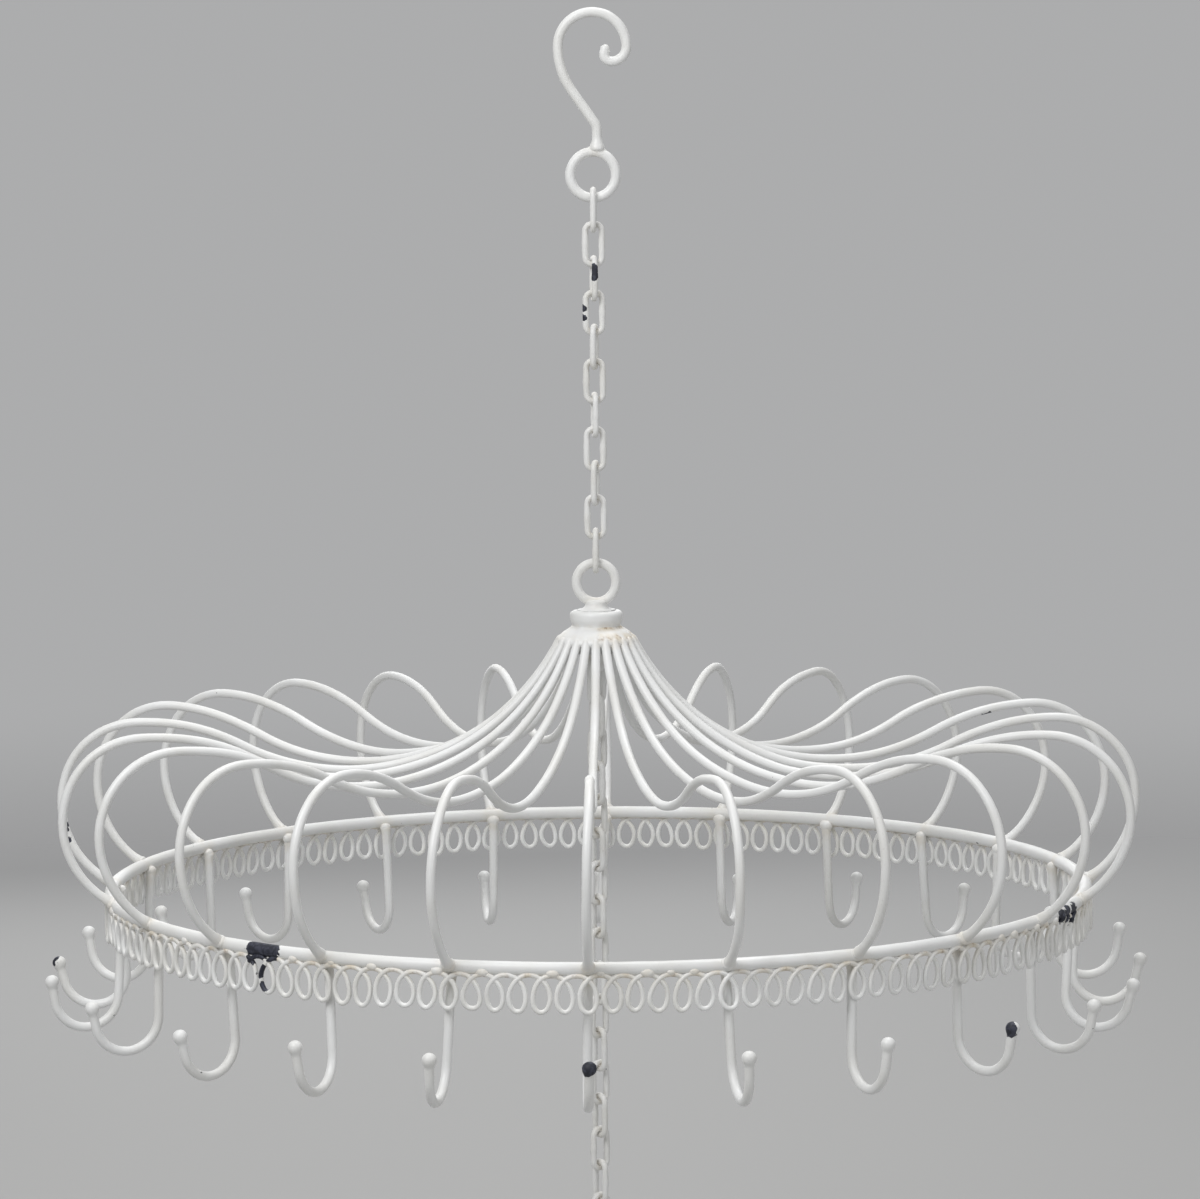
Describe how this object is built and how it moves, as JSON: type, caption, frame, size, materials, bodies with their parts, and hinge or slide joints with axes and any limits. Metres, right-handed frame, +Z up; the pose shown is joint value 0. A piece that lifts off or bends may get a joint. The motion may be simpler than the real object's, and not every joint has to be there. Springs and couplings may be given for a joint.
{
  "type": "hanging hook rack",
  "caption": "Round wire rack that hangs on a chain: ribs spread from a crown to a rim hoop with loop trim and outward J-hooks, and a free chain hangs in the middle.",
  "frame": {"origin": "seat inside the top of the scroll hook, where the ceiling hook or rod touches it", "axes": "+Z up along the chain, -Y to the viewer, +X to the right"},
  "size_m": [0.5236, 0.5236, 0.5833],
  "materials": {
    "frame_paint": "thick ivory gloss paint, worn and stained",
    "trim_paint": "thick ivory gloss paint, stained at the welds",
    "link_paint": "thick ivory gloss paint, chipped"
  },
  "bodies": {
    "hanger": {"hanger_hook": "frame_paint", "hanger_ring": "frame_paint"},
    "chain_link_01": {"chain_link_01": "link_paint"},
    "chain_link_02": {"chain_link_02": "link_paint"},
    "chain_link_03": {"chain_link_03": "link_paint"},
    "chain_link_04": {"chain_link_04": "link_paint"},
    "chain_link_05": {"chain_link_05": "link_paint"},
    "chain_link_06": {"chain_link_06": "link_paint"},
    "chain_link_07": {"chain_link_07": "link_paint"},
    "chain_link_08": {"chain_link_08": "link_paint"},
    "chain_link_09": {"chain_link_09": "link_paint"},
    "chain_link_10": {"chain_link_10": "link_paint"},
    "chain_link_11": {"chain_link_11": "link_paint"},
    "rack": {"crown_ring": "frame_paint", "crown_cap": "frame_paint", "crown_core": "frame_paint", "chain_eye": "frame_paint", "rim_hoop": "frame_paint", "ribs_right": "frame_paint", "ribs_back_right": "frame_paint", "ribs_back": "frame_paint", "ribs_back_left": "frame_paint", "ribs_left": "frame_paint", "ribs_front_left": "frame_paint", "ribs_front": "frame_paint", "ribs_front_right": "frame_paint", "loop_trim_right": "trim_paint", "loop_trim_back_right": "trim_paint", "loop_trim_back": "trim_paint", "loop_trim_back_left": "trim_paint", "loop_trim_left": "trim_paint", "loop_trim_front_left": "trim_paint", "loop_trim_front": "trim_paint", "loop_trim_front_right": "trim_paint", "hooks_right": "frame_paint", "hooks_back_right": "frame_paint", "hooks_back": "frame_paint", "hooks_back_left": "frame_paint", "hooks_left": "frame_paint", "hooks_front_left": "frame_paint", "hooks_front": "frame_paint", "hooks_front_right": "frame_paint"},
    "lower_link_01": {"lower_link_01": "link_paint"},
    "lower_link_02": {"lower_link_02": "link_paint"},
    "lower_link_03": {"lower_link_03": "link_paint"},
    "lower_link_04": {"lower_link_04": "link_paint"},
    "lower_link_05": {"lower_link_05": "link_paint"},
    "lower_link_06": {"lower_link_06": "link_paint"},
    "lower_link_07": {"lower_link_07": "link_paint"},
    "lower_link_08": {"lower_link_08": "link_paint"},
    "lower_link_09": {"lower_link_09": "link_paint"},
    "lower_link_10": {"lower_link_10": "link_paint"},
    "lower_link_11": {"lower_link_11": "link_paint"},
    "lower_link_12": {"lower_link_12": "link_paint"},
    "lower_link_13": {"lower_link_13": "link_paint"},
    "lower_link_14": {"lower_link_14": "link_paint"},
    "lower_link_15": {"lower_link_15": "link_paint"},
    "lower_link_16": {"lower_link_16": "link_paint"},
    "lower_link_17": {"lower_link_17": "link_paint"}
  },
  "joints": [
    {"name": "chain_link_01_swing", "type": "hinge", "parent": "hanger", "child": "chain_link_01", "pos_m": [0, 0, -0.084], "axis": [1, 0, 0], "range_deg": [-60, 60]},
    {"name": "chain_link_02_swing", "type": "hinge", "parent": "chain_link_01", "child": "chain_link_02", "pos_m": [0, 0, -0.0991], "axis": [0, 1, 0], "range_deg": [-60, 60]},
    {"name": "chain_link_03_swing", "type": "hinge", "parent": "chain_link_02", "child": "chain_link_03", "pos_m": [0, 0, -0.1151], "axis": [-1, 0, 0], "range_deg": [-60, 60]},
    {"name": "chain_link_04_swing", "type": "hinge", "parent": "chain_link_03", "child": "chain_link_04", "pos_m": [0, 0, -0.1311], "axis": [0, -1, 0], "range_deg": [-60, 60]},
    {"name": "chain_link_05_swing", "type": "hinge", "parent": "chain_link_04", "child": "chain_link_05", "pos_m": [0, 0, -0.1471], "axis": [1, 0, 0], "range_deg": [-60, 60]},
    {"name": "chain_link_06_swing", "type": "hinge", "parent": "chain_link_05", "child": "chain_link_06", "pos_m": [0, 0, -0.1631], "axis": [0, 1, 0], "range_deg": [-60, 60]},
    {"name": "chain_link_07_swing", "type": "hinge", "parent": "chain_link_06", "child": "chain_link_07", "pos_m": [0, 0, -0.1791], "axis": [-1, 0, 0], "range_deg": [-60, 60]},
    {"name": "chain_link_08_swing", "type": "hinge", "parent": "chain_link_07", "child": "chain_link_08", "pos_m": [0, 0, -0.1951], "axis": [0, -1, 0], "range_deg": [-60, 60]},
    {"name": "chain_link_09_swing", "type": "hinge", "parent": "chain_link_08", "child": "chain_link_09", "pos_m": [0, 0, -0.2111], "axis": [1, 0, 0], "range_deg": [-60, 60]},
    {"name": "chain_link_10_swing", "type": "hinge", "parent": "chain_link_09", "child": "chain_link_10", "pos_m": [0, 0, -0.2271], "axis": [0, 1, 0], "range_deg": [-60, 60]},
    {"name": "chain_link_11_swing", "type": "hinge", "parent": "chain_link_10", "child": "chain_link_11", "pos_m": [0, 0, -0.2431], "axis": [-1, 0, 0], "range_deg": [-60, 60]},
    {"name": "rack_swing", "type": "hinge", "parent": "chain_link_11", "child": "rack", "pos_m": [0, 0, -0.2591], "axis": [0, -1, 0], "range_deg": [-60, 60]},
    {"name": "lower_link_01_swing", "type": "hinge", "parent": "rack", "child": "lower_link_01", "pos_m": [0, 0, -0.30552], "axis": [-0.6088, 0.7934, 0], "range_deg": [-45, 45]},
    {"name": "lower_link_02_swing", "type": "hinge", "parent": "lower_link_01", "child": "lower_link_02", "pos_m": [0, 0, -0.32132], "axis": [0.7934, 0.6088, 0], "range_deg": [-60, 60]},
    {"name": "lower_link_03_swing", "type": "hinge", "parent": "lower_link_02", "child": "lower_link_03", "pos_m": [0, 0, -0.33732], "axis": [0.6088, -0.7934, 0], "range_deg": [-60, 60]},
    {"name": "lower_link_04_swing", "type": "hinge", "parent": "lower_link_03", "child": "lower_link_04", "pos_m": [0, 0, -0.35333], "axis": [-0.7934, -0.6088, 0], "range_deg": [-60, 60]},
    {"name": "lower_link_05_swing", "type": "hinge", "parent": "lower_link_04", "child": "lower_link_05", "pos_m": [0, 0, -0.36933], "axis": [-0.6088, 0.7934, 0], "range_deg": [-60, 60]},
    {"name": "lower_link_06_swing", "type": "hinge", "parent": "lower_link_05", "child": "lower_link_06", "pos_m": [0, 0, -0.38532], "axis": [0.7934, 0.6088, 0], "range_deg": [-60, 60]},
    {"name": "lower_link_07_swing", "type": "hinge", "parent": "lower_link_06", "child": "lower_link_07", "pos_m": [0, 0, -0.40132], "axis": [0.6088, -0.7934, 0], "range_deg": [-60, 60]},
    {"name": "lower_link_08_swing", "type": "hinge", "parent": "lower_link_07", "child": "lower_link_08", "pos_m": [0, 0, -0.41733], "axis": [-0.7934, -0.6088, 0], "range_deg": [-60, 60]},
    {"name": "lower_link_09_swing", "type": "hinge", "parent": "lower_link_08", "child": "lower_link_09", "pos_m": [0, 0, -0.43333], "axis": [-0.6088, 0.7934, 0], "range_deg": [-60, 60]},
    {"name": "lower_link_10_swing", "type": "hinge", "parent": "lower_link_09", "child": "lower_link_10", "pos_m": [0, 0, -0.44932], "axis": [0.7934, 0.6088, 0], "range_deg": [-60, 60]},
    {"name": "lower_link_11_swing", "type": "hinge", "parent": "lower_link_10", "child": "lower_link_11", "pos_m": [0, 0, -0.46532], "axis": [0.6088, -0.7934, 0], "range_deg": [-60, 60]},
    {"name": "lower_link_12_swing", "type": "hinge", "parent": "lower_link_11", "child": "lower_link_12", "pos_m": [0, 0, -0.48133], "axis": [-0.7934, -0.6088, 0], "range_deg": [-60, 60]},
    {"name": "lower_link_13_swing", "type": "hinge", "parent": "lower_link_12", "child": "lower_link_13", "pos_m": [0, 0, -0.49732], "axis": [-0.6088, 0.7934, 0], "range_deg": [-60, 60]},
    {"name": "lower_link_14_swing", "type": "hinge", "parent": "lower_link_13", "child": "lower_link_14", "pos_m": [0, 0, -0.51333], "axis": [0.7934, 0.6088, 0], "range_deg": [-60, 60]},
    {"name": "lower_link_15_swing", "type": "hinge", "parent": "lower_link_14", "child": "lower_link_15", "pos_m": [0, 0, -0.52933], "axis": [0.6088, -0.7934, 0], "range_deg": [-60, 60]},
    {"name": "lower_link_16_swing", "type": "hinge", "parent": "lower_link_15", "child": "lower_link_16", "pos_m": [0, 0, -0.54533], "axis": [-0.7934, -0.6088, 0], "range_deg": [-60, 60]},
    {"name": "lower_link_17_swing", "type": "hinge", "parent": "lower_link_16", "child": "lower_link_17", "pos_m": [0, 0, -0.56133], "axis": [-0.6088, 0.7934, 0], "range_deg": [-60, 60]}
  ]
}
